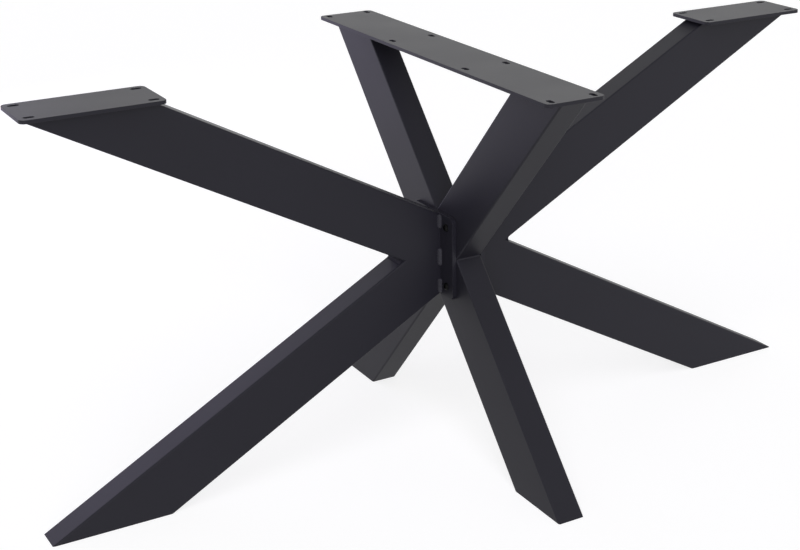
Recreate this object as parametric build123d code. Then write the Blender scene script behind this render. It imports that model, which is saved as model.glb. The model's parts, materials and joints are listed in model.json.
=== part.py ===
"""Cross table base of rectangular steel tube: a crosswise X with a V frame bolted to each side of it.

Millimetres. +X runs along the table, +Y across it, +Z up. The origin is on the floor, under the hub.
The X lies in the YZ plane. The V frames lie in the XZ plane: left is -X, right is +X.
"""
from build123d import *
import os
from math import asin, atan2, cos, degrees, hypot, pi, sin, tan

# Overall
base_height = 720.0
hub_height = 362.0
side_reach = 760.0
cross_foot_reach = 326.0

# Rectangular tube
tube_depth = 100.0
tube_width = 50.0
tube_wall = 2.0
tube_corner_radius = 3.0

# Top plates and foot caps
plate_thickness = 6.0
plate_width = 110.0
plate_corner_radius = 10.0
plate_edge_break = 0.8
side_plate_length = 230.0
side_plate_overhang = 2.0
cross_plate_overhang = 6.0
cap_thickness = 3.0

# Slots for the screws into the table top
slot_length = 18.0
slot_width = 9.0
slot_side_inset = 15.0
side_slot_end_inset = 17.5
cross_slot_end_inset = 15.0
cross_slot_rows = 4

# Flange between each V and the X
flange_thickness = 8.0
flange_width = 135.0
flange_margin = 1.0
flange_corner_radius = 10.0
flange_edge_break = 0.8
bolt_end_inset = 21.0

# Bolt and weld nut
bolt_diameter = 8.0
bolt_length = 20.0
bolt_head_diameter = 14.0
bolt_head_height = 4.4
socket_flats = 5.0
socket_depth = 2.6
bolt_hole_clearance = 0.5
nut_flats = 14.0
nut_height = 6.5
thread_clearance = 0.05

# Welds
stitch_length = 28.0
stitch_leg = 7.0
stitch_end_gap = 2.0
side_weld_radius = 7.0
cross_weld_radius = 3.0


def arm_angle(rise):
    """Slope of a side arm whose outer tip is side_reach from the hub's centre, a rise above or below it."""
    return atan2(rise, side_reach) + asin(half_depth / hypot(rise, side_reach))


# Sizes that follow from the ones above
plate_underside = base_height - plate_thickness
half_depth = tube_depth / 2
half_width = tube_width / 2
flange_face = half_width + flange_thickness
bolt_hole_radius = bolt_diameter / 2 + bolt_hole_clearance
upper_angle = arm_angle(plate_underside - hub_height)
lower_angle = arm_angle(hub_height)
cross_angle = atan2(hub_height, cross_foot_reach)
cross_top_reach = (plate_underside - hub_height) / tan(cross_angle)
side_plate_end = side_reach + side_plate_overhang
cross_plate_length = 2 * (cross_top_reach + half_depth / sin(cross_angle) + cross_plate_overhang)
frame_top = hub_height + flange_face * tan(upper_angle) + half_depth / cos(upper_angle)
frame_bottom = hub_height - flange_face * tan(lower_angle) - half_depth / cos(lower_angle)
flange_top = frame_top + flange_margin
flange_bottom = frame_bottom - flange_margin
bolt_offset = (half_width + flange_width / 2) / 2
bolt_levels = (flange_bottom + bolt_end_inset, flange_top - bolt_end_inset)
bolt_places = [Pos(0, y, z) * Rot(0, 90, 0) for z in bolt_levels for y in (-bolt_offset, bolt_offset)]
drill_length = 3 * flange_face

floor = Plane(origin=(0, 0, 0), z_dir=(0, 0, 1))
under_plate = Plane(origin=(0, 0, plate_underside), z_dir=(0, 0, -1))

parts = {}


def side_direction(angle):
    """Unit vector in the XZ plane, at an angle above +X."""
    return Vector(cos(angle), 0, sin(angle))


def cross_direction(angle):
    """Unit vector in the YZ plane, at an angle above +Y."""
    return Vector(0, cos(angle), sin(angle))


def hub_plane(direction, across):
    """Plane through the hub's centre, square to an arm, with the tube's depth along its own X."""
    return Plane(origin=(0, 0, hub_height), x_dir=direction.cross(across), z_dir=direction)


def tube_bar(plane, start, end):
    """Straight bar with the tube's outside, between two distances along an arm."""
    outline = RectangleRounded(tube_depth, tube_width, tube_corner_radius)
    return extrude(plane.offset(start) * outline, end - start)


def tube_bore(plane, start, end):
    """The hollow of the tube, between two distances along an arm."""
    outline = Rectangle(tube_depth - 2 * tube_wall, tube_width - 2 * tube_wall)
    return extrude(plane.offset(start) * outline, end - start)


def trim(solid, *planes):
    """What is left of a solid on the side that each plane's normal points to."""
    for plane in planes:
        solid = split(solid, bisect_by=plane, keep=Keep.TOP)
    return solid


def tube_run(direction, across, start, end, *cuts):
    """Hollow tube between two distances along an arm, trimmed by its end cuts."""
    plane = hub_plane(direction, across)
    return trim(tube_bar(plane, start, end) - tube_bore(plane, start, end), *cuts)


def foot_cap(direction, across, start, end):
    """Cap inside the mouth of a tube, flush with the floor."""
    under = Plane(origin=(0, 0, cap_thickness), z_dir=(0, 0, -1))
    return trim(tube_bore(hub_plane(direction, across), start, end), floor, under)


def drilled(solid):
    """A solid with the holes for the bolts through it, along X."""
    return solid - [place * Cylinder(bolt_hole_radius, drill_length) for place in bolt_places]


def slotted_plate(length, width, slot_places):
    """Flat plate under the table top, long along its own X, with its underside at zero."""
    plate = extrude(RectangleRounded(length, width, plate_corner_radius), plate_thickness)
    plate = chamfer(plate.edges().group_by(Axis.Z)[-1], plate_edge_break)
    slots = Sketch() + slot_places * SlotOverall(slot_length, slot_width)
    return plate - extrude(slots, plate_thickness)


def corner_weld(point, toward, half_angle, across, radius):
    """Hollow fillet in an inner corner between two tube faces, across the flat of their width.

    point is the sharp corner, toward points out of it along its bisector, half_angle is half its opening.
    """
    up = across.cross(toward)
    leg = radius / tan(half_angle)
    upper_toe = point + (toward * cos(half_angle) + up * sin(half_angle)) * leg
    lower_toe = point + (toward * cos(half_angle) - up * sin(half_angle)) * leg
    throat = point + toward * radius * (1 / sin(half_angle) - 1)
    face = ThreePointArc(upper_toe, throat, lower_toe)
    outline = make_face([Line(point, upper_toe), face, Line(lower_toe, point)])
    return extrude(outline, half_width - tube_corner_radius, dir=across, both=True)


def make_bolt():
    """Low-head socket bolt along Z, its head standing on the XY plane and its shank below it."""
    bolt = extrude(Circle(bolt_head_diameter / 2), bolt_head_height)
    bolt += extrude(Circle(bolt_diameter / 2), -bolt_length)
    socket = RegularPolygon(socket_flats / 2, 6, major_radius=False)
    return bolt - extrude(Plane.XY.offset(bolt_head_height) * socket, -socket_depth)


def make_nut():
    """Hexagon weld nut that hangs under the XY plane."""
    hexagon = RegularPolygon(nut_flats / 2, 6, major_radius=False)
    bore = Circle(bolt_diameter / 2 + thread_clearance)
    return extrude(hexagon - bore, -nut_height)


def build_centre_frame():
    """The X: a tube that runs through, two half tubes on it, their caps, welds and plate, and bolt holes."""
    across = Vector(1, 0, 0)
    through_way = cross_direction(cross_angle)
    half_way = cross_direction(pi - cross_angle)
    through_face = hub_plane(through_way, across).x_dir * half_depth
    if through_face.dot(half_way) < 0:
        through_face = through_face * -1
    hub = Vector(0, 0, hub_height)
    above = Plane(origin=hub + through_face, z_dir=through_face)
    below = Plane(origin=hub - through_face, z_dir=through_face * -1)

    run = base_height / sin(cross_angle)
    parts["cross_through_tube"] = drilled(tube_run(through_way, across, -run, run, floor, under_plate))
    parts["cross_upper_tube"] = drilled(tube_run(half_way, across, 0, run, under_plate, above))
    parts["cross_lower_tube"] = drilled(tube_run(half_way, across, -run, 0, floor, below))
    parts["cross_front_foot_cap"] = foot_cap(through_way, across, -run, 0)
    parts["cross_back_foot_cap"] = foot_cap(half_way, across, -run, 0)

    side_corner = half_depth / sin(cross_angle)
    end_corner = half_depth / cos(cross_angle)
    corners = {
        "front": (Vector(0, -1, 0), side_corner, cross_angle),
        "back": (Vector(0, 1, 0), side_corner, cross_angle),
        "top": (Vector(0, 0, 1), end_corner, pi / 2 - cross_angle),
        "bottom": (Vector(0, 0, -1), end_corner, pi / 2 - cross_angle),
    }
    for name, (toward, distance, half_angle) in corners.items():
        weld = corner_weld(hub + toward * distance, toward, half_angle, across, cross_weld_radius)
        parts["cross_" + name + "_weld"] = weld

    row_pitch = (cross_plate_length - 2 * cross_slot_end_inset) / (cross_slot_rows - 1)
    slots = GridLocations(row_pitch, plate_width - 2 * slot_side_inset, cross_slot_rows, 2)
    plate = slotted_plate(cross_plate_length, plate_width, slots)
    parts["cross_top_plate"] = Pos(0, 0, plate_underside) * Rot(0, 0, 90) * plate


def build_right_side():
    """The right V: two mitred arms on a flange, with its foot cap, plate, welds and bolts."""
    across = Vector(0, 1, 0)
    run = 2 * side_reach
    mitre_angle = (upper_angle - lower_angle) / 2
    mitre_way = side_direction(mitre_angle)
    hub = Vector(0, 0, hub_height)
    over_mitre = Plane(origin=hub, z_dir=side_direction(mitre_angle + pi / 2))
    under_mitre = Plane(origin=hub, z_dir=side_direction(mitre_angle - pi / 2))
    at_flange = Plane(origin=(flange_face, 0, 0), z_dir=(1, 0, 0))

    pieces = {}
    upper_way = side_direction(upper_angle)
    lower_way = side_direction(-lower_angle)
    pieces["upper_arm"] = tube_run(upper_way, across, -tube_depth, run, under_plate, at_flange, over_mitre)
    pieces["lower_arm"] = tube_run(lower_way, across, -tube_depth, run, floor, at_flange, under_mitre)
    pieces["foot_cap"] = foot_cap(lower_way, across, 0, run)

    opening = (upper_angle + lower_angle) / 2
    corner = hub + mitre_way * (half_depth / sin(opening))
    pieces["corner_weld"] = corner_weld(corner, mitre_way, opening, across, side_weld_radius)

    end_pitch = side_plate_length - 2 * side_slot_end_inset
    slots = GridLocations(end_pitch, plate_width - 2 * slot_side_inset, 2, 2)
    plate = slotted_plate(side_plate_length, plate_width, slots)
    pieces["top_plate"] = Pos(side_plate_end - side_plate_length / 2, 0, plate_underside) * plate

    flange_height = flange_top - flange_bottom
    flange_centre = Pos(half_width, 0, (flange_top + flange_bottom) / 2) * Rot(0, 90, 0)
    flange = extrude(RectangleRounded(flange_height, flange_width, flange_corner_radius), flange_thickness)
    flange = chamfer(flange.edges().group_by(Axis.Z)[-1], flange_edge_break)
    pieces["flange"] = drilled(flange_centre * flange)

    seat = Pos(0, 0, flange_face)
    inner_wall = Pos(0, 0, half_width - tube_wall)
    pieces["bolts"] = Part() + [place * seat * make_bolt() for place in bolt_places]
    pieces["nuts"] = Part() + [place * inner_wall * make_nut() for place in bolt_places]

    reach = stitch_length / 2 + stitch_end_gap
    levels = (frame_bottom + reach, (frame_bottom + frame_top) / 2, frame_top - reach)
    bars = [tube_bar(hub_plane(way, across), -tube_depth, run) for way in (upper_way, lower_way)]
    for name, y in (("front", -half_width), ("back", half_width)):
        rounds = [Pos(flange_face, y, z) * Cylinder(stitch_leg, stitch_length) for z in levels]
        pieces[name + "_stitch_welds"] = Part() + rounds - bars - pieces["flange"]
    return pieces


build_centre_frame()
for name, piece in build_right_side().items():
    parts["right_" + name] = piece
    parts["left_" + name] = mirror(piece, about=Plane.YZ)

os.makedirs("parts", exist_ok=True)
for name, piece in parts.items():
    export_step(piece, os.path.join("parts", name + ".step"))
print(len(parts), "nodes, upper arm at %.2f degrees, lower arm at %.2f, cross at %.2f"
      % (degrees(upper_angle), degrees(lower_angle), degrees(cross_angle)))
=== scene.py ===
# %% [markdown]
# # Cross table base
# A steel base for a long dining table: a crossed frame stands across the table, and a V frame is
# bolted to each side of it. All of it is rectangular tube with a black powder coat, and slotted
# plates on top take the screws into the table top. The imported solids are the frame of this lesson,
# and each step below gives them a finish or a piece with more detail.

# %% Load the frame
import json
import math

import bmesh
import bpy
from mathutils import Matrix, Quaternion, Vector


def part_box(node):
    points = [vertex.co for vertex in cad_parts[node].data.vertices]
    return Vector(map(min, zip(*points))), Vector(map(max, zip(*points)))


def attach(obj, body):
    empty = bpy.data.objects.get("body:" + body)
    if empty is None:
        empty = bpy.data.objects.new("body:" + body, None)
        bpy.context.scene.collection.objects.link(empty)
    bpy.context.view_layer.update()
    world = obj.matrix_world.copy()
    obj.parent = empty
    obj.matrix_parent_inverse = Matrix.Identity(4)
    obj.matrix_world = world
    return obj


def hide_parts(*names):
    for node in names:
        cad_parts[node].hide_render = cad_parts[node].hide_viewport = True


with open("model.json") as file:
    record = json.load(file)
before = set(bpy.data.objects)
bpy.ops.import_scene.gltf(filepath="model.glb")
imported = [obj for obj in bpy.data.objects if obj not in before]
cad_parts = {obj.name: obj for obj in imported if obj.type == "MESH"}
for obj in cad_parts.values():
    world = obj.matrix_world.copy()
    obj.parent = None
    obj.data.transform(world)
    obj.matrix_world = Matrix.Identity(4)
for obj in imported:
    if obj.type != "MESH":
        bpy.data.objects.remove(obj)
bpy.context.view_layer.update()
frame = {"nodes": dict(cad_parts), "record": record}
nodes = frame["nodes"]

# %% [markdown]
# ## Powder coat, the shared effect
# A powder coat is baked from dry grains, so it is never quite flat. Close up it has a fine grain,
# over it lies a gentle orange peel, and over a whole arm the gloss drifts a little. Three noises of
# three sizes could sit in every material, but tube, weld and bolt all need them, so they go into
# one node group that puts out a colour, a roughness and a height, each with its own named inputs.

# %% Tools for node groups
def group_value(tree, name, value):
    """A number that each material can set on the group."""
    socket = tree.interface.new_socket(name, in_out="INPUT", socket_type="NodeSocketFloat")
    socket.default_value = value


def group_colour(tree, name):
    """A colour that each material can set on the group."""
    tree.interface.new_socket(name, in_out="INPUT", socket_type="NodeSocketColor")


def noise(tree, vector, detail):
    """A noise whose size is linked later, read at a given vector."""
    node = tree.nodes.new("ShaderNodeTexNoise")
    node.inputs["Detail"].default_value = detail
    tree.links.new(vector, node.inputs["Vector"])
    return node


def math_node(tree, operation, first, second):
    """One sum on two sockets or numbers."""
    node = tree.nodes.new("ShaderNodeMath")
    node.operation = operation
    for place, value in enumerate((first, second)):
        if isinstance(value, (int, float)):
            node.inputs[place].default_value = value
        else:
            tree.links.new(value, node.inputs[place])
    return node.outputs[0]


# %% Powder coat group
GRAIN_DETAIL = 2.0
PEEL_DETAIL = 1.0
DRIFT_DETAIL = 3.0
NOISE_MEAN = 0.5
TONE_GAIN = 2.0


def add_coat_sockets(tree):
    """What each material sets on the group, and the three results that it gets back."""
    group_colour(tree, "Dark")
    group_colour(tree, "Light")
    group_value(tree, "Roughness", 0.5)
    group_value(tree, "Roughness Spread", 0.1)
    group_value(tree, "Grains per Metre", 1500.0)
    group_value(tree, "Peel per Metre", 300.0)
    group_value(tree, "Drift per Metre", 5.0)
    group_value(tree, "Peel Share", 0.4)
    tree.interface.new_socket("Colour", in_out="OUTPUT", socket_type="NodeSocketColor")
    tree.interface.new_socket("Roughness", in_out="OUTPUT", socket_type="NodeSocketFloat")
    tree.interface.new_socket("Height", in_out="OUTPUT", socket_type="NodeSocketFloat")


def build_coat_group():
    """Node group: grain, orange peel and drift of gloss, on Object coordinates in metres."""
    tree = bpy.data.node_groups.new("powder_coat_surface", "ShaderNodeTree")
    add_coat_sockets(tree)
    given = tree.nodes.new("NodeGroupInput").outputs
    result = tree.nodes.new("NodeGroupOutput").inputs
    place = tree.nodes.new("ShaderNodeTexCoord").outputs["Object"]

    grain = noise(tree, place, GRAIN_DETAIL)
    peel = noise(tree, place, PEEL_DETAIL)
    drift = noise(tree, place, DRIFT_DETAIL)
    tree.links.new(given["Grains per Metre"], grain.inputs["Scale"])
    tree.links.new(given["Peel per Metre"], peel.inputs["Scale"])
    tree.links.new(given["Drift per Metre"], drift.inputs["Scale"])

    tone = math_node(tree, "MULTIPLY", grain.outputs["Fac"], drift.outputs["Fac"])
    tone = math_node(tree, "MULTIPLY", tone, TONE_GAIN)
    colour = tree.nodes.new("ShaderNodeMix")
    colour.data_type = "RGBA"
    tree.links.new(tone, colour.inputs["Factor"])
    tree.links.new(given["Dark"], colour.inputs["A"])
    tree.links.new(given["Light"], colour.inputs["B"])
    tree.links.new(colour.outputs["Result"], result["Colour"])

    swing = math_node(tree, "ADD", grain.outputs["Fac"], drift.outputs["Fac"])
    swing = math_node(tree, "SUBTRACT", swing, 2 * NOISE_MEAN)
    swing = math_node(tree, "MULTIPLY", swing, given["Roughness Spread"])
    tree.links.new(math_node(tree, "ADD", given["Roughness"], swing), result["Roughness"])

    height = tree.nodes.new("ShaderNodeMix")
    tree.links.new(given["Peel Share"], height.inputs["Factor"])
    tree.links.new(grain.outputs["Fac"], height.inputs["A"])
    tree.links.new(peel.outputs["Fac"], height.inputs["B"])
    tree.links.new(height.outputs["Result"], result["Height"])
    return tree


coat_group = build_coat_group()
print("group:", coat_group.name, "with", len(coat_group.nodes), "nodes")

# %% [markdown]
# ## The finishes
# The tubes, plates and welds have one satin black coat with a breath of violet in it. It mirrors its
# white surroundings softly: dark when seen square on and grey at a flat angle, as on the top plates.
# Over the ripples of a stitch weld the same coat flows a little smoother and thicker, and its colour
# is set lighter than the coat, a painted highlight for the lamp light the beads would mirror. Deep
# in the inner corner of a V little powder arrives, because the charged walls catch it first, so the
# coat on that weld stays thin and dull. The bolts are blackened steel, duller and darker than the
# coat, and the nuts inside the tubes are plain bright steel. One function builds all five from the
# shared group, and each material only sets its own numbers on it.

# %% Material builder
MM_PER_M = 1000


def coated_material(name, dark, light, roughness, spread, bump_mm, specular, metallic=0.0):
    """Principled material that takes its colour, roughness and bump from the shared group."""
    material = bpy.data.materials.new(name)
    material.use_nodes = True
    tree = material.node_tree
    shader = tree.nodes["Principled BSDF"]
    surface = tree.nodes.new("ShaderNodeGroup")
    surface.node_tree = coat_group
    surface.inputs["Dark"].default_value = (*dark, 1.0)
    surface.inputs["Light"].default_value = (*light, 1.0)
    surface.inputs["Roughness"].default_value = roughness
    surface.inputs["Roughness Spread"].default_value = spread
    bump = tree.nodes.new("ShaderNodeBump")
    bump.inputs["Strength"].default_value = 1.0
    bump.inputs["Distance"].default_value = bump_mm / MM_PER_M
    tree.links.new(surface.outputs["Height"], bump.inputs["Height"])
    tree.links.new(surface.outputs["Colour"], shader.inputs["Base Color"])
    tree.links.new(surface.outputs["Roughness"], shader.inputs["Roughness"])
    tree.links.new(bump.outputs["Normal"], shader.inputs["Normal"])
    shader.inputs["Specular IOR Level"].default_value = specular
    shader.inputs["Metallic"].default_value = metallic
    return material


# %% Five materials, and one for every CAD node
COAT_DARK = (0.0098, 0.0094, 0.0138)
COAT_LIGHT = (0.0157, 0.0151, 0.0212)
# The weld colours are lighter than the coat's: a painted highlight for the lamp light the beads would
# mirror.
WELD_DARK_PAINTED_HIGHLIGHT = (0.0150, 0.0145, 0.0200)
WELD_LIGHT_PAINTED_HIGHLIGHT = (0.0240, 0.0232, 0.0310)
BOLT_DARK = (0.002, 0.002, 0.002)
BOLT_LIGHT = (0.004, 0.004, 0.004)
STEEL_DARK = (0.40, 0.40, 0.41)
STEEL_LIGHT = (0.50, 0.50, 0.51)
satin_black = coated_material("satin_black_coat", COAT_DARK, COAT_LIGHT,
                              roughness=0.50, spread=0.12, bump_mm=0.02, specular=0.30)
weld_coat_painted_highlight = coated_material("coated_weld", WELD_DARK_PAINTED_HIGHLIGHT, WELD_LIGHT_PAINTED_HIGHLIGHT,
                             roughness=0.44, spread=0.10, bump_mm=0.03, specular=0.35)
corner_black = coated_material("coat_in_corner", COAT_DARK, COAT_LIGHT,
                               roughness=0.65, spread=0.10, bump_mm=0.03, specular=0.12)
bolt_black = coated_material("blackened_steel", BOLT_DARK, BOLT_LIGHT,
                             roughness=0.35, spread=0.10, bump_mm=0.01, specular=0.10)
nut_steel = coated_material("plain_steel", STEEL_DARK, STEEL_LIGHT,
                            roughness=0.35, spread=0.15, bump_mm=0.01, specular=0.50, metallic=1.0)
slot_finish = {"powder_coat": satin_black, "fastener": bolt_black, "weld_nut": nut_steel}
for row in frame["record"]["subparts"]:
    mesh = nodes[row["node"]].data
    mesh.materials.clear()
    in_corner = row["node"].endswith("corner_weld")
    mesh.materials.append(corner_black if in_corner else slot_finish[row["material_slot"]])
finishes = (satin_black, weld_coat_painted_highlight, corner_black, bolt_black, nut_steel)
print("finishes:", ", ".join(material.name for material in finishes))

# %% [markdown]
# ## A builder for plates
# The plates under the table top and the flanges at the hub are cut from flat bar. Paint rounds their
# edges and the rims of their holes, so that each rim catches a thin line of light. A bevel on a
# filled outline would slide along the triangles of its flat faces. Here each outline is drawn several
# times instead, a little smaller at every step round the edge, and the steps are joined by quads.
# Only turns below a small crease angle are shaded smooth, so a round corner looks round and the flats
# stay flat.

# %% Outlines of plates and holes
PLATE_CORNER_M = 0.010
CORNER_STEPS = 12
SAME_POINT_M = 1e-7


def rounded_outline(length, width, radius):
    """Points round a rectangle with round corners, centred on zero."""
    points = []
    for corner, (side_x, side_y) in enumerate(((1, 1), (-1, 1), (-1, -1), (1, -1))):
        for step in range(CORNER_STEPS + 1):
            turn = math.radians(90 * (corner + step / CORNER_STEPS))
            x = side_x * (length / 2 - radius) + radius * math.cos(turn)
            y = side_y * (width / 2 - radius) + radius * math.sin(turn)
            if not points or math.dist(points[-1], (x, y)) > SAME_POINT_M:
                points.append((x, y))
    if math.dist(points[0], points[-1]) < SAME_POINT_M:
        points.pop()
    return points


def plate_outline(length, width, back):
    """Outline of a plate, set back by the rounding of its edge."""
    return rounded_outline(length - 2 * back, width - 2 * back, PLATE_CORNER_M - back)


def hole_outline(hole, length, width, back):
    """Outline of a slot or a round hole at its place, widened by the rounding of its rim."""
    x, y, across = hole
    points = rounded_outline(length + 2 * back, width + 2 * back, width / 2 + back)
    if across:
        return [(x - point_y, y + point_x) for point_x, point_y in points]
    return [(x + point_x, y + point_y) for point_x, point_y in points]


# %% Plates from outlines
EDGE_STEPS = 4
MERGE_M = 1e-6


def rim_steps(thickness, edge):
    """Set-back and height at every step up a wall whose two rims are rounded."""
    turns = [math.radians(90 * step / EDGE_STEPS) for step in range(EDGE_STEPS + 1)]
    lower = [(edge * (1 - math.sin(turn)), edge * (1 - math.cos(turn))) for turn in turns]
    return lower + [(back, thickness - height) for back, height in reversed(lower)]


def join_rings(shape, rings):
    """Wall of quads through rings of points at given heights: returns its first and last ring."""
    made = [[shape.verts.new((x, y, height)) for x, y in points] for points, height in rings]
    for first, second in zip(made, made[1:]):
        for place in range(len(first)):
            follow = (place + 1) % len(first)
            shape.faces.new((first[place], first[follow], second[follow], second[place]))
    return made[0], made[-1]


def pierced_plate(length, width, thickness, edge, rim, holes, hole_length, hole_width):
    """Plate on zero height, centred on zero, with its edges and the rims of its holes rounded."""
    shape = bmesh.new()
    steps = rim_steps(thickness, edge)
    loops = [join_rings(shape, [(plate_outline(length, width, back), height) for back, height in steps])]
    steps = rim_steps(thickness, rim)
    for hole in holes:
        rings = [(hole_outline(hole, hole_length, hole_width, back), height) for back, height in steps]
        loops.append(join_rings(shape, rings))
    for level in (0, 1):
        rims = []
        for loop in loops:
            ring = loop[level]
            for place in range(len(ring)):
                rims.append(shape.edges.get((ring[place], ring[(place + 1) % len(ring)])))
        bmesh.ops.triangle_fill(shape, use_beauty=True, edges=rims)
    bmesh.ops.remove_doubles(shape, verts=shape.verts, dist=MERGE_M)
    bmesh.ops.recalc_face_normals(shape, faces=shape.faces)
    return shape


# %% Pieces that stand for CAD nodes
PLATE_CREASE_DEG = 9


def new_piece(name, mesh, crease_deg, slot, *stands_for):
    """Object at the origin that rides on the base and stands for CAD nodes, smooth up to a crease."""
    mesh.shade_smooth()
    mesh.set_sharp_from_angle(angle=math.radians(crease_deg))
    piece = bpy.data.objects.new(name, mesh)
    bpy.context.scene.collection.objects.link(piece)
    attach(piece, "root")
    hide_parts(*stands_for)
    return piece


def coated_piece(node, shape, place):
    """Plate shape moved to its place, in the coat, instead of a CAD node."""
    bmesh.ops.transform(shape, matrix=place, verts=shape.verts)
    mesh = bpy.data.meshes.new(node + "_coated")
    shape.to_mesh(mesh)
    shape.free()
    mesh.materials.append(satin_black)
    return new_piece(node + "_coated", mesh, PLATE_CREASE_DEG, "powder_coat", node)


# %% [markdown]
# ## Top plates
# Three slotted plates carry the table top: a short one on each V and a long one on the crossed frame.
# Their slots let the wood move under its screws. Boxes with cut slots would do, but a cut leaves razor
# sharp rims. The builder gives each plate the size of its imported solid, sets every slot where the
# record's mounts have it, and leaves a fine rounding on all rims, as the coat does.

# %% Top plates
PLATE_EDGE_M = 0.0004
SLOT_RIM_M = 0.0002


def slot_places(prefix):
    """Places of a plate's slots, and their length and width, from the record's mounts."""
    places = []
    for mount in frame["record"]["mounts"]:
        if mount["name"].startswith(prefix) and mount["kind"] == "bolt_pattern":
            sizes = mount["dims"]
            half_x = sizes.get("spacing_x_mm", 0) / 2 / MM_PER_M
            half_y = sizes.get("spacing_y_mm", 0) / 2 / MM_PER_M
            for x in {half_x, -half_x}:
                for y in {half_y, -half_y}:
                    places.append((mount["pos_m"][0] + x, mount["pos_m"][1] + y))
            length = sizes["slot_length_mm"] / MM_PER_M
            width = 2 * sizes["hole_r_mm"] / MM_PER_M
    return sorted(places), length, width


def lying_plate(node, slots, slot_length, slot_width):
    """Slotted plate with rounded edges under the table top."""
    low, high = (Vector(corner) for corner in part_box(node))
    size = high - low
    middle = (low + high) / 2
    holes = [(x - middle.x, y - middle.y, size.y > size.x) for x, y in slots]
    shape = pierced_plate(*size, PLATE_EDGE_M, SLOT_RIM_M, holes, slot_length, slot_width)
    return coated_piece(node, shape, Matrix.Translation((middle.x, middle.y, low.z)))


for side in ("left", "cross", "right"):
    plate = lying_plate(side + "_top_plate", *slot_places(side + "_plate"))
    print("plate:", plate.name, len(plate.data.polygons), "faces")

# %% [markdown]
# ## Flanges
# Each V is welded to an upright flange, and the flange is bolted to the crossed frame. It is cut from
# thicker bar, with crisp edges and four round holes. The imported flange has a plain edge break, which
# would catch too broad a line of light, so the builder makes it anew, lying flat, and a matrix stands
# it up across the hub.

# %% Flanges
FLANGE_EDGE_M = 0.0003
FLANGE_HOLE_M = 0.009
BOLT_HEAD_M = 0.014


def bolt_places(side):
    """Place across the hub and height of a flange's four bolts, from the box of its CAD bolts."""
    low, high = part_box(side + "_bolts")
    across = (low[1] + BOLT_HEAD_M / 2, high[1] - BOLT_HEAD_M / 2)
    levels = (low[2] + BOLT_HEAD_M / 2, high[2] - BOLT_HEAD_M / 2)
    return [(y, z) for y in across for z in levels]


def standing_flange(side):
    """Flange with crisp edges and four bolt holes, which stands across the hub."""
    node = side + "_flange"
    low, high = (Vector(corner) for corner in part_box(node))
    size = high - low
    middle = (low + high) / 2
    holes = [(y - middle.y, z - middle.z, False) for y, z in bolt_places(side)]
    edges = (FLANGE_EDGE_M, FLANGE_EDGE_M)
    shape = pierced_plate(size.y, size.z, size.x, *edges, holes, FLANGE_HOLE_M, FLANGE_HOLE_M)
    upright = Matrix(((0, 0, 1, low.x), (1, 0, 0, middle.y), (0, 1, 0, middle.z), (0, 0, 0, 1)))
    return coated_piece(node, shape, upright)


for side in ("left", "right"):
    flange = standing_flange(side)
    print("flange:", flange.name, len(flange.data.polygons), "faces")

# %% [markdown]
# ## Button-head bolts
# Four bolts hold each V frame to the crossed frame: a low round head with a hexagon socket, seated on
# the flange, and a shank that runs through it into a nut. Eight copies of one mesh would do, but each
# real bolt stops at its own angle. A geometry tree builds one bolt from named sizes, a squashed ball
# cut flat on both sides, a shank and a socket cut into the crown, and sets it on eight points that
# carry the way the head faces and the angle at which it came to rest.

# %% Tools for geometry trees
def add_node(tree, kind, inputs=None, **settings):
    """A node with its settings made and its inputs filled or linked: returns its first output."""
    node = tree.nodes.new(kind)
    for name, value in settings.items():
        setattr(node, name, value)
    for name, value in (inputs or {}).items():
        if isinstance(value, bpy.types.NodeSocket):
            tree.links.new(value, node.inputs[name])
        else:
            node.inputs[name].default_value = value
    return node.outputs[0]


def new_geometry_tree(name, sizes):
    """Geometry tree from points to a finished mesh, with named sizes: returns it and its inputs."""
    tree = bpy.data.node_groups.new(name, "GeometryNodeTree")
    tree.interface.new_socket("Points", in_out="INPUT", socket_type="NodeSocketGeometry")
    for size, value in sizes.items():
        group_value(tree, size, value)
    tree.interface.new_socket("Finish", in_out="INPUT", socket_type="NodeSocketMaterial")
    tree.interface.new_socket("Mesh", in_out="OUTPUT", socket_type="NodeSocketGeometry")
    return tree, tree.nodes.new("NodeGroupInput").outputs


def carried(tree, name):
    """Vector of a given name that every point carries."""
    return add_node(tree, "GeometryNodeInputNamedAttribute", {"Name": name}, data_type="FLOAT_VECTOR")


def end_tree(tree, given, single):
    """Sets one piece on every point by its turn, roll and stretch, and gives the mesh its finish."""
    turn = add_node(tree, "FunctionNodeEulerToRotation", {"Euler": carried(tree, "turn")})
    roll = add_node(tree, "FunctionNodeEulerToRotation", {"Euler": carried(tree, "roll")})
    both = {"Rotation": turn, "Rotate By": roll}
    turn = add_node(tree, "FunctionNodeRotateRotation", both, rotation_space="LOCAL")
    stretch = carried(tree, "stretch")
    placed = {"Points": given["Points"], "Instance": single, "Rotation": turn, "Scale": stretch}
    mesh = add_node(tree, "GeometryNodeInstanceOnPoints", placed)
    mesh = add_node(tree, "GeometryNodeRealizeInstances", {"Geometry": mesh})
    mesh = add_node(tree, "GeometryNodeSetMaterial", {"Geometry": mesh, "Material": given["Finish"]})
    tree.links.new(mesh, tree.nodes.new("NodeGroupOutput").inputs["Mesh"])


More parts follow.
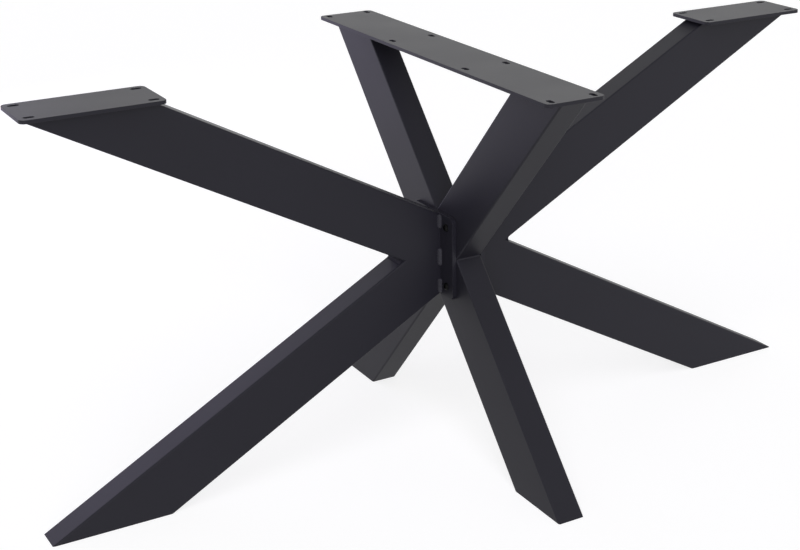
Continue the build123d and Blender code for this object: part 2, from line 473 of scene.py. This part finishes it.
# %% A mesh grown from a tree
def grow(tree, rows, settings):
    """Plain mesh that a geometry tree makes from rows of place, turn, roll and stretch."""
    points = bpy.data.meshes.new(tree.name)
    points.from_pydata([row[0] for row in rows], [], [])
    for column, name in ((1, "turn"), (2, "roll"), (3, "stretch")):
        attribute = points.attributes.new(name, "FLOAT_VECTOR", "POINT")
        for place, row in enumerate(rows):
            attribute.data[place].vector = row[column]
    holder = bpy.data.objects.new(tree.name, points)
    bpy.context.scene.collection.objects.link(holder)
    modifier = holder.modifiers.new(tree.name, "NODES")
    modifier.node_group = tree
    for socket in tree.interface.items_tree:
        if socket.in_out == "INPUT" and socket.name in settings:
            modifier[socket.identifier] = settings[socket.name]
    graph = bpy.context.evaluated_depsgraph_get()
    mesh = bpy.data.meshes.new_from_object(holder.evaluated_get(graph))
    holder.modifiers.clear()
    bpy.data.objects.remove(holder)
    return mesh


# %% Head, shank and socket of a bolt
DOME_RATIO = 2.3
HEAD_SEGMENTS = 48
HEAD_RINGS = 32
SHANK_SEGMENTS = 32
SHANK_OVERLAP_M = 0.001
SOCKET_SIDES = 6


def bolt_head(tree, given):
    """Squashed ball, pressed flat at its seat and at its crown."""
    full_dome = math_node(tree, "MULTIPLY", given["Head Height"], DOME_RATIO)
    spread = {"X": given["Head Diameter"], "Y": given["Head Diameter"], "Z": full_dome}
    spread = add_node(tree, "ShaderNodeCombineXYZ", spread)
    ball = {"Segments": HEAD_SEGMENTS, "Rings": HEAD_RINGS, "Radius": 0.5}
    ball = add_node(tree, "GeometryNodeMeshUVSphere", ball)
    ball = add_node(tree, "GeometryNodeTransform", {"Geometry": ball, "Scale": spread})
    parted = tree.nodes.new("ShaderNodeSeparateXYZ")
    tree.links.new(add_node(tree, "GeometryNodeInputPosition"), parted.inputs[0])
    level = math_node(tree, "MAXIMUM", parted.outputs["Z"], 0.0)
    level = math_node(tree, "MINIMUM", level, given["Head Height"])
    pressed = {"X": parted.outputs["X"], "Y": parted.outputs["Y"], "Z": level}
    pressed = add_node(tree, "ShaderNodeCombineXYZ", pressed)
    return add_node(tree, "GeometryNodeSetPosition", {"Geometry": ball, "Position": pressed})


def bolt_shank(tree, given):
    """Cylinder below the seat, which reaches a little into the head."""
    radius = math_node(tree, "DIVIDE", given["Shank Diameter"], 2.0)
    depth = math_node(tree, "ADD", given["Shank Length"], SHANK_OVERLAP_M)
    shank = {"Vertices": SHANK_SEGMENTS, "Radius": radius, "Depth": depth}
    shank = add_node(tree, "GeometryNodeMeshCylinder", shank)
    drop = math_node(tree, "SUBTRACT", SHANK_OVERLAP_M, given["Shank Length"])
    drop = add_node(tree, "ShaderNodeCombineXYZ", {"Z": math_node(tree, "DIVIDE", drop, 2.0)})
    return add_node(tree, "GeometryNodeTransform", {"Geometry": shank, "Translation": drop})


def socket_key(tree, given):
    """Hexagon that stands with its lower half in the crown, to be cut out of it."""
    corner = math_node(tree, "DIVIDE", given["Socket Flats"], 2 * math.cos(math.pi / SOCKET_SIDES))
    depth = math_node(tree, "MULTIPLY", given["Socket Depth"], 2.0)
    key = {"Vertices": SOCKET_SIDES, "Radius": corner, "Depth": depth}
    key = add_node(tree, "GeometryNodeMeshCylinder", key)
    lift = add_node(tree, "ShaderNodeCombineXYZ", {"Z": given["Head Height"]})
    return add_node(tree, "GeometryNodeTransform", {"Geometry": key, "Translation": lift})


# %% Tree of a button-head bolt
def build_bolt_tree():
    """Tree that makes button-head bolts: each one stands on its point, with its head along its own Z."""
    sizes = {"Head Diameter": 0.014, "Head Height": 0.0044, "Shank Diameter": 0.008,
             "Shank Length": 0.020, "Socket Flats": 0.005, "Socket Depth": 0.0026}
    tree, given = new_geometry_tree("button_head_bolts", sizes)
    joined = tree.nodes.new("GeometryNodeMeshBoolean")
    joined.operation = "UNION"
    joined.solver = "EXACT"
    tree.links.new(bolt_head(tree, given), joined.inputs["Mesh 2"])
    tree.links.new(bolt_shank(tree, given), joined.inputs["Mesh 2"])
    bolt = {"Mesh 1": joined.outputs[0], "Mesh 2": socket_key(tree, given)}
    bolt = add_node(tree, "GeometryNodeMeshBoolean", bolt, operation="DIFFERENCE", solver="EXACT")
    end_tree(tree, given, bolt)
    return tree


# %% Button-head bolts
BOLT_ANGLES_DEG = (8, 41, 23, 55, 14, 37, 3, 29)
BOLT_CREASE_DEG = 30


def bolt_rows():
    """Seat, way and rest angle of every bolt, from the boxes of the CAD bolts."""
    rows = []
    for side, way in (("left", -1), ("right", 1)):
        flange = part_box(side + "_flange")
        seat = flange[1][0] if way > 0 else flange[0][0]
        for y, z in bolt_places(side):
            angle = math.radians(BOLT_ANGLES_DEG[len(rows)])
            rows.append(((seat, y, z), (0, way * math.pi / 2, 0), (0, 0, angle), (1, 1, 1)))
    return rows


low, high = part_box("right_bolts")
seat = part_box("right_flange")[1][0]
bolt_sizes = {"Head Diameter": BOLT_HEAD_M, "Head Height": high[0] - seat, "Shank Length": seat - low[0],
              "Finish": bolt_black}
bolt_mesh = grow(build_bolt_tree(), bolt_rows(), bolt_sizes)
bolts = new_piece("button_bolts", bolt_mesh, BOLT_CREASE_DEG, "fastener", "left_bolts", "right_bolts")
print("bolts:", bolts.name, len(bolt_mesh.polygons), "faces")

# %% [markdown]
# ## Stitch welds
# Each V frame is welded to its flange by three short beads at the front and three at the back. A bead
# is laid drop by drop, so it is scaled like a row of coins, and it swells and runs out at its ends.
# A tube with a bump map would keep a straight outline. The tree below bends a flat grid round the
# corner instead: the length of the grid follows the weld, its width goes round the corner, and a sum
# on both gives every drop its curved edge. The beads differ in length, as hand-laid ones do.

# %% The curve of a bead
BEAD_WALL_SHARE = 0.12
BEAD_END_POWER = 6.0
BOW_GAIN = 4.0


def off_walls(tree, across):
    """0 at both sides of the grid, which close the bead in the corner, and 1 on its skin."""
    other = math_node(tree, "SUBTRACT", 1.0, across)
    out = math_node(tree, "MINIMUM", across, other)
    return math_node(tree, "MINIMUM", math_node(tree, "DIVIDE", out, BEAD_WALL_SHARE), 1.0)


def way_round(tree, across):
    """Share of the way from one wall to the other, and the cosine and sine of its angle."""
    share = math_node(tree, "SUBTRACT", across, BEAD_WALL_SHARE)
    share = math_node(tree, "DIVIDE", share, 1 - 2 * BEAD_WALL_SHARE)
    share = math_node(tree, "MINIMUM", math_node(tree, "MAXIMUM", share, 0.0), 1.0)
    angle = math_node(tree, "MULTIPLY", share, math.pi / 2)
    return share, math_node(tree, "COSINE", angle, 0.0), math_node(tree, "SINE", angle, 0.0)


def drops(tree, given, along, share):
    """1 on the crest of every drop and less between two of them, with bowed edges."""
    bow = math_node(tree, "SUBTRACT", share, 0.5)
    bow = math_node(tree, "MULTIPLY", math_node(tree, "MULTIPLY", bow, bow), BOW_GAIN)
    bow = math_node(tree, "MULTIPLY", bow, given["Drop Curve"])
    phase = math_node(tree, "MULTIPLY", math_node(tree, "ADD", along, bow), given["Drops"])
    wave = math_node(tree, "SINE", math_node(tree, "MULTIPLY", phase, math.pi), 0.0)
    wave = math_node(tree, "SUBTRACT", 1.0, math_node(tree, "ABSOLUTE", wave, 0.0))
    return math_node(tree, "SUBTRACT", 1.0, math_node(tree, "MULTIPLY", wave, given["Drop Depth"]))


def run_out(tree, from_middle):
    """1 along the bead, falling to 0 at its two ends."""
    reach = math_node(tree, "MULTIPLY", math_node(tree, "ABSOLUTE", from_middle, 0.0), 2.0)
    taper = math_node(tree, "SUBTRACT", 1.0, math_node(tree, "POWER", reach, BEAD_END_POWER))
    return math_node(tree, "SQRT", math_node(tree, "MAXIMUM", taper, 0.0), 0.0)


def bulge(tree, given, cosine, sine):
    """1 for a round skin, and less where flatness draws it towards the line between the walls."""
    flat = math_node(tree, "DIVIDE", 1.0, math_node(tree, "ADD", cosine, sine))
    flat = math_node(tree, "SUBTRACT", 1.0, flat)
    return math_node(tree, "SUBTRACT", 1.0, math_node(tree, "MULTIPLY", flat, given["Flatness"]))


# %% Tree of a rippled bead
POINTS_ALONG = 133
POINTS_ROUND = 19


def build_bead_tree():
    """Tree that makes rippled beads in a corner between two walls: along Z, between +X and +Y."""
    sizes = {"Leg": 0.007, "Length": 0.028, "Drops": 11.0, "Drop Depth": 0.10, "Drop Curve": 0.035,
             "Flatness": 0.45}
    tree, given = new_geometry_tree("rippled_beads", sizes)
    grid = {"Size X": 1.0, "Size Y": 1.0, "Vertices X": POINTS_ALONG, "Vertices Y": POINTS_ROUND}
    grid = add_node(tree, "GeometryNodeMeshGrid", grid)
    parted = tree.nodes.new("ShaderNodeSeparateXYZ")
    tree.links.new(add_node(tree, "GeometryNodeInputPosition"), parted.inputs[0])
    along = math_node(tree, "ADD", parted.outputs["X"], 0.5)
    across = math_node(tree, "ADD", parted.outputs["Y"], 0.5)
    share, cosine, sine = way_round(tree, across)
    radius = math_node(tree, "MULTIPLY", given["Leg"], run_out(tree, parted.outputs["X"]))
    radius = math_node(tree, "MULTIPLY", radius, drops(tree, given, along, share))
    radius = math_node(tree, "MULTIPLY", radius, bulge(tree, given, cosine, sine))
    radius = math_node(tree, "MULTIPLY", radius, off_walls(tree, across))
    bent = {"X": math_node(tree, "MULTIPLY", radius, cosine),
            "Y": math_node(tree, "MULTIPLY", radius, sine),
            "Z": math_node(tree, "MULTIPLY", parted.outputs["X"], given["Length"])}
    bent = add_node(tree, "ShaderNodeCombineXYZ", bent)
    bead = add_node(tree, "GeometryNodeSetPosition", {"Geometry": grid, "Position": bent})
    bead = add_node(tree, "GeometryNodeMergeByDistance", {"Geometry": bead, "Distance": MERGE_M})
    bead = add_node(tree, "GeometryNodeFlipFaces", {"Mesh": bead})
    end_tree(tree, given, bead)
    return tree


# %% Stitch welds
BEAD_CREASE_DEG = 35
BOTTOM_BEAD_M = 0.028
MIDDLE_BEAD_M = 0.034
TOP_BEAD_M = 0.027
MIDDLE_DROP_M = 0.005
TOP_LIFT_M = 0.002
BEAD_TURN_DEG = {
    ("right", "back"): 0,
    ("left", "back"): 90,
    ("left", "front"): 180,
    ("right", "front"): 270,
}


def bead_rows():
    """Corner, turn and length of every bead, from the boxes of the CAD welds."""
    rows = []
    for (side, face), turn in BEAD_TURN_DEG.items():
        low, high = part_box("%s_%s_stitch_welds" % (side, face))
        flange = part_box(side + "_flange")
        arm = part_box(side + "_upper_arm")
        x = flange[1][0] if side == "right" else flange[0][0]
        y = arm[1][1] if face == "back" else arm[0][1]
        middle = (low[2] + high[2]) / 2 - MIDDLE_DROP_M
        beads = ((low[2] + BOTTOM_BEAD_M / 2, BOTTOM_BEAD_M), (middle, MIDDLE_BEAD_M),
                 (high[2] + TOP_LIFT_M - TOP_BEAD_M / 2, TOP_BEAD_M))
        for z, length in beads:
            stretch = (1, 1, length / BOTTOM_BEAD_M)
            rows.append(((x, y, z), (0, 0, math.radians(turn)), (0, 0, 0), stretch))
    return rows


low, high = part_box("right_front_stitch_welds")
bead_sizes = {"Leg": high[0] - low[0], "Length": BOTTOM_BEAD_M, "Finish": weld_coat_painted_highlight}
bead_mesh = grow(build_bead_tree(), bead_rows(), bead_sizes)
bead_nodes = ["%s_%s_stitch_welds" % pair for pair in BEAD_TURN_DEG]
beads = new_piece("stitch_beads", bead_mesh, BEAD_CREASE_DEG, "powder_coat", *bead_nodes)
print("beads:", beads.name, len(bead_mesh.polygons), "faces on", len(bead_nodes), "seams")

# %% [markdown]
# ## Floor
# The base stands on a white sweep. A floor of plain white paint would need strong lamps to look white,
# and they would bleach the black coat. This floor scatters little and mixes in light of its own, which
# only the camera and mirrored rays see, so that it is white while the feet keep a faint shadow. Near
# the base the mirrored glow is weaker, because a real floor lies in the shade of the base there.

# %% Tools for studio light
def seen_mirrored(tree):
    """1 for rays that a shiny or clear surface sends on, otherwise 0."""
    path = tree.nodes.new("ShaderNodeLightPath")
    return math_node(tree, "MAXIMUM", path.outputs["Is Glossy Ray"], path.outputs["Is Transmission Ray"])


def seen_by_camera(tree):
    """1 for rays from the camera, otherwise 0."""
    return tree.nodes.new("ShaderNodeLightPath").outputs["Is Camera Ray"]


def smooth_range(tree, value, start, stop, first, last):
    """A value that runs smoothly from first to last while another runs from start to stop."""
    node = tree.nodes.new("ShaderNodeMapRange")
    node.interpolation_type = "SMOOTHSTEP"
    tree.links.new(value, node.inputs["Value"])
    for name, number in (("From Min", start), ("From Max", stop), ("To Min", first), ("To Max", last)):
        node.inputs[name].default_value = number
    return node.outputs["Result"]


# %% Floor
FLOOR_HALF_M = 30.0
FLOOR_SCATTER = 0.35
FLOOR_GLOW = 0.795
SHADE_SHARE = 0.72
SHADE_NEAR_M = 0.4
SHADE_FAR_M = 1.8


def shade_of_base(tree):
    """Share of the floor's glow that is left in the base's own shade, by the distance from its middle."""
    distance = tree.nodes.new("ShaderNodeVectorMath")
    distance.operation = "LENGTH"
    tree.links.new(tree.nodes.new("ShaderNodeTexCoord").outputs["Object"], distance.inputs[0])
    return smooth_range(tree, distance.outputs["Value"], SHADE_NEAR_M, SHADE_FAR_M, SHADE_SHARE, 1.0)


def build_floor():
    """Pale floor under the feet, white where no shadow falls."""
    corners = [(x * FLOOR_HALF_M, y * FLOOR_HALF_M, 0) for x, y in ((-1, -1), (1, -1), (1, 1), (-1, 1))]
    mesh = bpy.data.meshes.new("floor")
    mesh.from_pydata(corners, [], [(0, 1, 2, 3)])
    floor = bpy.data.objects.new("floor", mesh)
    bpy.context.scene.collection.objects.link(floor)
    material = bpy.data.materials.new("pale_floor")
    material.use_nodes = True
    tree = material.node_tree
    tree.nodes.clear()
    scatter = tree.nodes.new("ShaderNodeBsdfDiffuse")
    scatter.inputs["Color"].default_value = (FLOOR_SCATTER, FLOOR_SCATTER, FLOOR_SCATTER, 1)
    glow = tree.nodes.new("ShaderNodeEmission")
    mirrored = math_node(tree, "MULTIPLY", seen_mirrored(tree), shade_of_base(tree))
    seen = math_node(tree, "MAXIMUM", seen_by_camera(tree), mirrored)
    tree.links.new(math_node(tree, "MULTIPLY", seen, FLOOR_GLOW), glow.inputs["Strength"])
    both = tree.nodes.new("ShaderNodeAddShader")
    tree.links.new(scatter.outputs[0], both.inputs[0])
    tree.links.new(glow.outputs[0], both.inputs[1])
    output = tree.nodes.new("ShaderNodeOutputMaterial")
    tree.links.new(both.outputs[0], output.inputs["Surface"])
    mesh.materials.append(material)
    return floor


floor = build_floor()
print("floor:", 2 * FLOOR_HALF_M, "m wide, scatters", FLOOR_SCATTER, "and glows", FLOOR_GLOW)

# %% [markdown]
# ## Light
# A satin coat shows its surroundings more than its lamps. The faces are modelled by two broad lamps
# from the front left, which scatter but leave no mirrored spot. A weak lamp from the back right lifts
# the flat tops, and a violet panel far behind on the left tints the faces that look that way, as in
# the photograph. To mirrored rays the world is a room with white walls and a darker ceiling, to the
# camera it is white, and it gives only a little light besides.

# %% Light
SKY_LIGHT = 0.2
WALL_TOP = 0.40
CEILING = 0.85
CEILING_SHARE = 0.45
LAMPS = (
    ("key_lamp", (-0.45, -0.55, 0.95), 40, 0.9, (0.95, 0.94, 1.0), False),
    ("front_lamp", (-0.40, -0.90, 0.20), 40, 2.1, (0.95, 0.93, 1.0), False),
    ("back_lamp", (0.50, 0.80, 0.35), 40, 0.20, (1.0, 1.0, 1.0), True),
)
PANEL_PLACE_M = Vector((-0.9, 2.6, 0.8))
PANEL_AIM_M = Vector((0.0, 0.0, 0.6))
PANEL_SIZE_M = 1.8
PANEL_POWER_W = 13.5
PANEL_TINT = (0.62, 0.52, 1.0)


def add_lamp(name, kind, strength, tint, way):
    """A lamp whose light comes from the given way."""
    lamp = bpy.data.lights.new(name, kind)
    lamp.energy = strength
    lamp.color = tint
    holder = bpy.data.objects.new(name, lamp)
    holder.rotation_euler = Vector(way).to_track_quat("Z", "Y").to_euler()
    bpy.context.scene.collection.objects.link(holder)
    return holder


def shade_overhead(tree):
    """Share of the white walls that a mirrored ray finds, from the walls up to the darker ceiling."""
    parted = tree.nodes.new("ShaderNodeSeparateXYZ")
    tree.links.new(tree.nodes.new("ShaderNodeTexCoord").outputs["Generated"], parted.inputs[0])
    return smooth_range(tree, parted.outputs["Z"], WALL_TOP, CEILING, 1.0, CEILING_SHARE)


def build_light():
    """Weak sky, white for what looks straight at it, broad lamps far away and one panel."""
    world = bpy.data.worlds.new("studio")
    bpy.context.scene.world = world
    world.use_nodes = True
    tree = world.node_tree
    background = tree.nodes["Background"]
    seen = math_node(tree, "MULTIPLY", seen_mirrored(tree), shade_overhead(tree))
    seen = math_node(tree, "MAXIMUM", seen_by_camera(tree), seen)
    tree.links.new(math_node(tree, "MAXIMUM", seen, SKY_LIGHT), background.inputs["Strength"])
    background.inputs["Color"].default_value = (1, 1, 1, 1)
    for name, way, spread, strength, tint, mirrored in LAMPS:
        lamp = add_lamp(name, "SUN", strength, tint, way)
        lamp.data.angle = math.radians(spread)
        lamp.visible_glossy = mirrored
    panel = add_lamp("violet_panel", "AREA", PANEL_POWER_W, PANEL_TINT, PANEL_PLACE_M - PANEL_AIM_M)
    panel.location = PANEL_PLACE_M
    panel.data.size = PANEL_SIZE_M
    panel.visible_camera = False


build_light()
print("studio: sky", SKY_LIGHT, "with", len(LAMPS), "lamps and a panel")

# %% [markdown]
# ## Camera
# The photograph was taken from the front left, well above the top plates. Its edges give the eye
# point and the lens, and they show that the picture was cropped off centre, which a camera shift
# repeats. The whole shift fits the edges a little better, but it would push the base out of the top
# of other views, so two thirds of it are kept and the camera is turned for the rest.

# %% Camera
IMAGE_PX = (800, 550)
FOCAL_PX = 1589.37
CENTRE_PX = (460.5, 150.5)
EYE_M = Vector((-1.36531, -2.31349, 1.34153))
LOOK_AZIMUTH_DEG = -31.004
LOOK_ELEVATION_DEG = 16.595
LOOK_ROLL_DEG = 0.292
SENSOR_MM = 36
SIGHT_M = 100


def build_camera():
    """Camera at the photograph's eye point."""
    azimuth = math.radians(LOOK_AZIMUTH_DEG)
    elevation = math.radians(LOOK_ELEVATION_DEG)
    level = math.cos(elevation)
    back = Vector((math.sin(azimuth) * level, -math.cos(azimuth) * level, math.sin(elevation)))
    lens = bpy.data.cameras.new("camera")
    lens.sensor_fit = "HORIZONTAL"
    lens.sensor_width = SENSOR_MM
    lens.lens = FOCAL_PX / IMAGE_PX[0] * SENSOR_MM
    lens.shift_x = (IMAGE_PX[0] / 2 - CENTRE_PX[0]) / IMAGE_PX[0]
    lens.shift_y = (CENTRE_PX[1] - IMAGE_PX[1] / 2) / IMAGE_PX[0]
    lens.clip_end = SIGHT_M
    camera = bpy.data.objects.new("camera", lens)
    camera.location = EYE_M
    roll = Quaternion((0, 0, 1), math.radians(-LOOK_ROLL_DEG))
    camera.rotation_euler = (back.to_track_quat("Z", "Y") @ roll).to_euler()
    bpy.context.scene.collection.objects.link(camera)
    bpy.context.scene.camera = camera
    return camera


camera = build_camera()
bpy.context.scene.view_settings.view_transform = "Standard"
print("camera: lens %.1f mm" % camera.data.lens)
